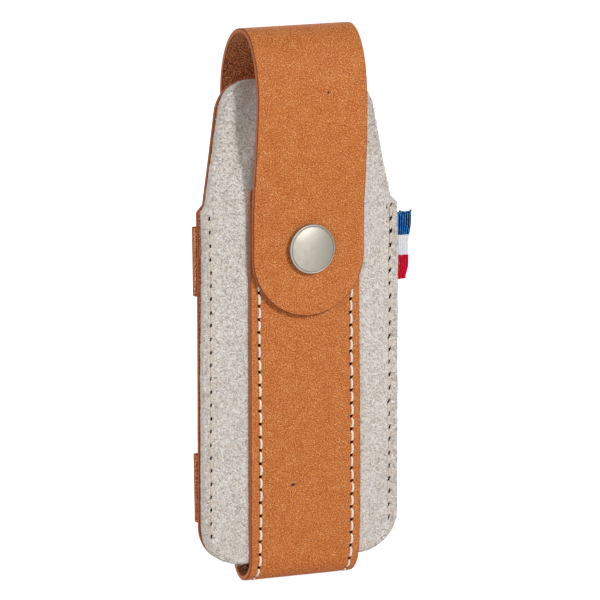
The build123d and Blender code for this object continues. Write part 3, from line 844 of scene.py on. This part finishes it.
seam_columns = np.array([-32.1, -31.6, -31.1, -30.75, -30.45, -30.2, -29.9, -29.5, -29.0, -28.4])
beside = np.concatenate([seam_columns, np.linspace(-27.6, -20.5, 9)])
felt_columns = np.sort(np.concatenate([beside, np.linspace(-19.8, 19.8, 37), -beside])) / (PANEL_HALF - 1.65)
felt_columns = felt_columns[np.abs(felt_columns) < 0.995]
felt_panel = strip("felt_panel", panel_outline, felt_columns, FELT, felt_place, [WOOL, WOOL, WOOL],
                   rounding=1.15, support=0.4, behind=0.12, replaces=["felt_front_panel"], slot="felt")


def panel_back(x, z):
    """Y of the leather panel's outer face, at the back."""
    y = FELT + LEATHER + lean(z) + (PANEL_CROWN - lean(z)) * swell(x, z)
    return y - 0.15 * seam(x, z, 0.7) + 0.05 * lumps(x, z, 8.0, 21)


def panel_place(x, z, depth):
    return xyz(x + 0.6 * wider(x), panel_back(x, z) - depth, z)


panel_columns = np.sort(np.concatenate([seam_columns, np.linspace(-27.6, 27.6, 47), -seam_columns])) / (33.0 - EDGE)
leather("leather_panel", panel_outline, panel_columns, panel_place, BACK_CUT, shift=(140, 0),
        replaces=["back_leather_panel"])


def felt_fibres(name, count, steps=5):
    """Loose wool hairs that lie on the felt's face and stand out at its edge."""
    outline = panel_outline[panel_outline[:, 0] > 17.0]
    length = travelled(outline)
    at = rng.uniform(0, length[-1], count)
    x = np.interp(at, length, outline[:, 0]) - rng.uniform(0.3, 1.6, count)
    z = np.interp(at, length, outline[:, 1])
    loose = np.arange(count) % 3 == 0
    x = np.where(loose, rng.uniform(19.0, 32.0, count), x)
    z = np.where(loose, rng.uniform(10.0, 150.0, count), z)
    x = np.minimum(x, half_width(z) - 0.6)
    side = rng.choice((-1.0, 1.0), count)
    size = rng.uniform(0.8, 2.0, count)
    rise = np.where(loose, rng.uniform(0.05, 0.35, count), rng.uniform(0.0, 0.25, count))
    t = np.linspace(0, 1, steps)
    ray = rng.uniform(0, 2 * math.pi, count)[:, None] + rng.uniform(-1.2, 1.2, count)[:, None] * t
    px = (x * side)[:, None] + np.cumsum(np.cos(ray), axis=1) * size[:, None] / steps
    pz = z[:, None] + np.cumsum(np.sin(ray), axis=1) * size[:, None] / steps
    base = felt_front(np.clip(px, -33.0, 33.0).ravel(), pz.ravel()).reshape(px.shape)
    base += 1.3 * smooth((np.abs(px) - 32.4) / 1.2) - 0.03 - rise[:, None] * np.sin(math.pi * t * 0.8)
    centres = xyz(px + wider(px) + behind_edge(px, pz), base, pz)
    across = xyz(-np.sin(ray), 0.0, np.cos(ray))
    angle = np.arange(3) * 2 * math.pi / 3
    radius = 0.045 * (1 - 0.5 * t)
    ring = np.cos(angle)[:, None] * across[:, :, None, :] + np.sin(angle)[:, None] * np.array([0.0, -1.0, 0.0])
    points = (centres[:, :, None, :] + radius[None, :, None, None] * ring).reshape(-1, 3)
    faces = (ring_faces(steps, 3)[None] + (np.arange(count) * 3 * steps)[:, None, None]).reshape(-1, 4)
    uv = points[faces.ravel()][:, [0, 2]]
    return make(name, points, faces.tolist(), [WOOL], uv=uv, replaces=["felt_front_panel"], slot="felt")


fibres = felt_fibres("felt_fibres", 2400)


# ---- bands across the back

x = np.linspace(-33.5, 33.5, 900)
band_path = Path(np.stack([x, 6.0 + 4.3 * smooth((28.7 - np.abs(x)) / 9.6)], axis=1), "Z", -1.0)
band_outline = rounded([(0, 0, 0), (BAND_HALF, 0, 0.25), (BAND_HALF, band_path.length, 0.25),
                        (0, band_path.length, 0)], 0.6)
band_outline = band_outline[band_outline[:, 0] > 10.05]


def belt_band(name, node, bottom, seed, past):
    """A band whose left end stands past the panel's edge, by past from its foot to its top."""
    def band_place(x, s, depth):
        p = band_path.at(x + bottom + BAND_HALF, s, 0.05 * lumps(x, s, 7.0, seed) - depth)
        p[:, 1] -= 0.12 * near(np.abs(p[:, 0]), (SIDE_SEAM,), 0.7) * (1 - depth / LEATHER)
        more = past[0] + (past[1] - past[0]) * (x + BAND_HALF) / (2 * BAND_HALF)
        p[:, 0] -= more * smooth((-p[:, 0] - 29) / 4.4)
        return p

    leather(name, band_outline, np.linspace(-1, 1, 25)[1:-1], band_place, BACK_CUT, shift=(200, seed * 10),
            replaces=[node])


belt_band("upper_band", "upper_belt_band", UPPER_BAND, 31, (0.35, 0.62))
belt_band("lower_band", "lower_belt_band", LOWER_BAND, 32, (0.0, 0.35))


# ---- threads and needle holes

def tube(centres, radius, ups, sides=10, lobes=3, twist=1.1):
    """Points, faces and uv of one stitch: a lobed, twisted tube."""
    n = len(centres)
    tangent = unit(np.gradient(centres, axis=0))
    side = unit(np.cross(tangent, ups))
    lift = np.cross(side, tangent)
    length = travelled(centres)
    angle = circle(sides)
    swirl = lobes * (angle - length[:, None] * twist * 2 * math.pi / lobes)
    r = np.broadcast_to(radius, n)[:, None] * (1 + 0.13 * np.cos(swirl))
    ring = np.cos(angle)[:, None] * side[:, None, :] + np.sin(angle)[:, None] * lift[:, None, :]
    points = centres[:, None, :] + r[..., None] * ring
    u, v = np.tile(0.2 * np.arange(sides), n - 1), np.repeat(length, sides)
    low, high = v[:-sides], v[sides:]
    uv = np.stack([u, low, u + 0.2, low, u + 0.2, high, u, high], axis=1).reshape(-1, 2)
    return points.reshape(-1, 3), ring_faces(n, sides), uv


def join(name, tubes, material, **given):
    """One piece made of many tubes."""
    points, faces, uv = zip(*tubes)
    starts = np.cumsum([0] + [len(p) for p in points[:-1]])
    faces = np.concatenate([f + start for f, start in zip(faces, starts)]).tolist()
    return make(name, np.concatenate(points), faces, [material], uv=np.concatenate(uv), **given)


def threads(name, holes, surface, material, radius, lift, sink, gap=0.34, bow=0.04, low_bow=0.4, **given):
    """A stitch from each hole to the next. surface(x, s, height) gives points over the sheet."""
    tubes = []
    t = np.linspace(0, 1, 15)
    bulge = np.clip(1 - np.abs(2 * t - 1) ** 5, 0, 1)
    for (xa, sa), (xb, sb) in zip(holes[:-1], holes[1:]):
        height = -sink + (sink + lift * rng.uniform(0.85, 1.15)) * bulge
        open_end = gap / np.hypot(xb - xa, sb - sa)
        u = open_end + (1 - 2 * open_end) * (0.5 - 0.5 * np.cos(math.pi * t)) ** 0.9
        x = xa + (xb - xa) * u + rng.uniform(low_bow, 1.2) * bow * np.sin(math.pi * t)
        s = sa + (sb - sa) * u
        centres = surface(x, s, height)
        thick = radius * rng.uniform(0.94, 1.06) * (0.86 + 0.2 * np.sin(math.pi * t))
        tubes.append(tube(centres, thick, surface(x, s, height + 1) - centres))
    join(name, tubes, material, slot="thread", **given)


def needle_holes(name, holes, surface, radius, slant, **given):
    """Dark dishes of painted shade where the needle went through, in place of the shadow inside each hole. slant
    gives their length and their lean.
    """
    points, faces = [], []
    angle = circle(10)
    for hx, hs in holes:
        first = len(points)
        for r, h in ((1.0, 0.10), (0.72, 0.14)):
            a, b = r * radius * np.cos(angle), r * radius * np.sin(angle) * slant[0]
            points += list(surface(hx + a + slant[1] * b, hs + b, np.full(10, h)))
        points += list(surface(np.array([hx]), np.array([hs]), np.array([0.06])))
        for i in range(10):
            j = (i + 1) % 10
            faces.append((first + i, first + j, first + 10 + j, first + 10 + i))
            faces.append((first + 10 + i, first + 10 + j, first + 20))
    make(name, points, faces, [HOLE_SHADE], slot="thread", **given)


def on_strap(x, s, height):
    height = height - 0.3 * near(s, (curl_start + 9.5,), 4.0) * (height > 0)
    return body_path.at(x + cut_line(x, s), s, strap_height(x, s) + height)


def on_felt(x, z, height):
    return xyz(x, felt_front(x, z) - height, z)


def behind(x, z, height):
    """Over the leather panel or a band's end, at the back."""
    step = np.zeros(len(x))
    for bottom in (LOWER_BAND, UPPER_BAND):
        top = bottom + 2 * BAND_HALF
        step = np.maximum(step, smooth((z - bottom + 0.7) / 0.5) * smooth((top + 0.7 - z) / 0.5))
    return xyz(x, panel_back(x, z) + step * (LEATHER + 0.05) + height, z)


for side, word in ((-1, "left"), (1, "right")):
    node = [f"{word}_strap_seam"]
    threads(f"{word}_strap_stitches", strap_holes[side], on_strap, CREAM, 0.36, 0.14, 0.5, gap=0.62,
            bow=0.27 + 0.05 * side, replaces=node)
    needle_holes(f"{word}_strap_needle_holes", strap_holes[side], on_strap, 0.44, (1.5, -0.1 - 0.2 * side),
                 replaces=node)
    node = [f"{word}_side_seam"]
    holes = pits = felt_holes[side]
    if side > 0:
        # A short tack turns back at the seam's top, in place of its last pit.
        tx, tz = holes[-1]
        pits = holes[:-1]
        tack = [(tx - 1.3, tz - 0.5), (tx - 0.1, tz + 0.5)]
        threads("seam_tack", tack, on_felt, BEIGE, 0.3, 0.3, 0.3, gap=0.2, replaces=node)
        needle_holes("tack_needle_holes", [(tx - 1.45, tz - 0.6), (tx + 0.15, tz + 0.1)], on_felt, 0.3, (1.6, 0.3),
                     replaces=node)
    threads(f"{word}_side_stitches", holes, on_felt, BEIGE, 0.36, 0.12, 0.5, gap=0.74, bow=0.16, low_bow=-1.0,
            replaces=node)
    needle_holes(f"{word}_side_needle_holes", pits, on_felt, 0.39 + 0.07 * side, (2.4, 0.2 + 0.08 * side),
                 replaces=node)
    threads(f"{word}_back_stitches", holes, behind, BEIGE, 0.24, 0.14, 0.4, replaces=node)
    needle_holes(f"{word}_back_needle_holes", holes, behind, 0.32, (1.0, 0.0), replaces=node)


# ---- ribbon tag

RIBBON_ROOT, RIBBON_FOLD = 28.4, 37.9
FOLD_Y, FOLD_HALF = 2.15, 0.62
fold = [(RIBBON_FOLD + FOLD_HALF * 1.2 * math.cos(a), FOLD_Y + FOLD_HALF * math.sin(a))
        for a in np.linspace(-math.pi / 2, math.pi / 2, 40)]
path = Path([(RIBBON_ROOT, FOLD_Y - FOLD_HALF)] + fold + [(RIBBON_ROOT, FOLD_Y + FOLD_HALF)], "Z")


def ribbon_point(x, s, height):
    """A point over the folded ribbon: ribbed, tapered towards its fold and a little wavy."""
    rib = 0.13 * np.cos(2 * math.pi * s / RIB)
    p = path.at(x - 0.8 * smooth((x + 2) / 12.0) + RIBBON_MIDDLE, s, height + rib)
    taper = 0.9 * smooth((8.0 - x) / 8.0) + 0.9 * smooth((-x - 6.5) / 4.0)
    p[:, 0] -= taper * np.clip((p[:, 0] - 33.0) / 5.6, 0, 1)
    p[:, 2] += 0.3 * smooth((p[:, 0] - 33.0) / 4.3)
    p[:, 1] += 0.10 * np.sin(x * 0.5) * np.clip((p[:, 0] - 33.0) / 4.3, 0, 1)
    return p


ribbon_outline = rounded([(RIBBON_HALF, 0, 0), (RIBBON_HALF, path.length, 0)], 0.1)
ribbon_outline[:, 0] += 0.12 * np.cos(2 * math.pi * ribbon_outline[:, 1] / RIB)
ribbon = strip("ribbon", ribbon_outline, np.linspace(-1, 1, 45)[1:-1], 0.32,
               lambda x, s, d: ribbon_point(x, s, -d), [WEAVE, WEAVE, WEAVE],
               normals=np.tile([-1.0, 0.0], (len(ribbon_outline), 1)), rounding=0.1, support=0.12,
               replaces=["ribbon_tag"], slot="ribbon")

# Yarn loops along both edges, longer and frayed at the top.
loops = []
t = np.linspace(0, 1, 9)
for edge in (1, -1):
    s = 0.4
    while s < path.length - RIB:
        reach = rng.uniform(0.5, 1.1) if edge > 0 else rng.uniform(0.1, 0.25)
        x = edge * (10.25 + reach * np.sin(math.pi * t))
        along = s + RIB * t + rng.uniform(-0.1, 0.1) * np.sin(math.pi * t)
        centres = ribbon_point(x, along, rng.uniform(-0.1, 0.2) * np.sin(math.pi * t) - 0.14)
        ups = ribbon_point(x, along, 0.86) - centres
        points, faces, uv = tube(centres, rng.uniform(0.18, 0.28), ups, sides=7, lobes=2, twist=1.5)
        uv[:, 0] = edge * 9.0
        loops.append((points, faces, uv))
        s += RIB
join("ribbon_edge_loops", loops, WEAVE, replaces=["ribbon_tag"], slot="ribbon")


# ---- snap

def turned(name, profile, sides=96, off=(0.0, 0.0)):
    """A profile of (radius, distance forward of Y zero) turned about the snap's axis."""
    angle = circle(sides)
    points = [xyz(off[0] + r * np.cos(angle), -f, SNAP + off[1] + r * np.sin(angle)) for r, f in profile]
    make(name, np.concatenate(points), ring_faces(len(profile), sides).tolist(), [NICKEL], merge=0.001,
         body="flap", replaces=["snap_cap"], slot="snap_metal")


face = -FLAP_OUTER
profile = [(6.85, -0.15), (7.25, -0.15), (7.52, 0.02), (7.6, 0.3), (7.6, 1.55)]
profile += [(7.3 + 0.3 * math.cos(a), 1.7 + 0.3 * math.sin(a)) for a in np.linspace(0.1, 2.2, 9)]
profile += [(7.08, 1.84), (7.02, 1.80), (6.96, 1.84), (6.93, 2.00), (6.86, 2.11)]
profile += [(r, 2.95 - 0.78 * (r / 6.75) ** 2.2) for r in np.linspace(6.75, 0.0, 20)]
turned("snap_cap_shell", [(r, face + f) for r, f in profile], off=(0.35, -0.3))
tip = -STRAP_FRONT + 3.6
turned("snap_cap_post", [(0.0, face + 2.2), (1.5, face + 2.2), (1.5, tip + 0.02), (2.1, tip), (2.1, tip - 0.15),
                         (0.0, tip - 0.15)], sides=48)

for name in ("snap_socket", "snap_ring_spring", "snap_stud", "stud_rivet"):
    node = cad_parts[name]
    metal = STEEL if name == "snap_ring_spring" else NICKEL
    for place in node.material_slots:
        place.material = metal
    if not node.material_slots:
        node.data.materials.append(metal)


def drill(obj, *steps):
    """Cut round steps into a leather piece about the snap's axis, each (radius, from Y, to Y)."""
    sides = 96
    for radius, near_y, far_y in steps:
        angle = circle(sides)
        ring = xyz(radius * np.cos(angle), 0.0, SNAP + radius * np.sin(angle))
        points = np.concatenate([ring + (0, near_y, 0), ring + (0, far_y, 0)])
        caps = [tuple(range(sides)), tuple(range(2 * sides - 1, sides - 1, -1))]
        uv = [(u, (i + k) * 2 * math.pi * radius / sides) for i in range(sides)
              for u, k in ((0.4, 0), (0.4, 1), (1.2, 1), (1.2, 0))]
        uv += [(0.8, float(points[i][0])) for cap in caps for i in cap]
        faces = ring_faces(2, sides).tolist() + caps
        cutter = make("cutter", points, faces, obj.data.materials[:], [1] * len(faces), uv, body=None)
        cut = obj.modifiers.new("cut", "BOOLEAN")
        cut.operation, cut.solver, cut.object = "DIFFERENCE", "EXACT", cutter
        depsgraph = bpy.context.evaluated_depsgraph_get()
        mesh = bpy.data.meshes.new_from_object(obj.evaluated_get(depsgraph), preserve_all_data_layers=True,
                                               depsgraph=depsgraph)
        obj.modifiers.remove(cut)
        obj.data = mesh
        bpy.data.objects.remove(cutter)
    obj.data.set_sharp_from_angle(angle=math.radians(50))


drill(strap_flap, (6.35, -2.0, -4.17), (4.75, -2.0, -7.0))
drill(strap_run, (5.55, -5.0, -2.78), (1.75, -5.0, -0.8))


# ---- a point helper for the row frame, and the arch's pieces with their placing applied

def row(y, z):
    """A point of the middle plane in the row frame, in metres."""
    return (0.0, (y + SHIFT[1]) * MM, (z + SHIFT[2]) * MM)


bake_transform(strap_root)
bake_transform(strap_flap)
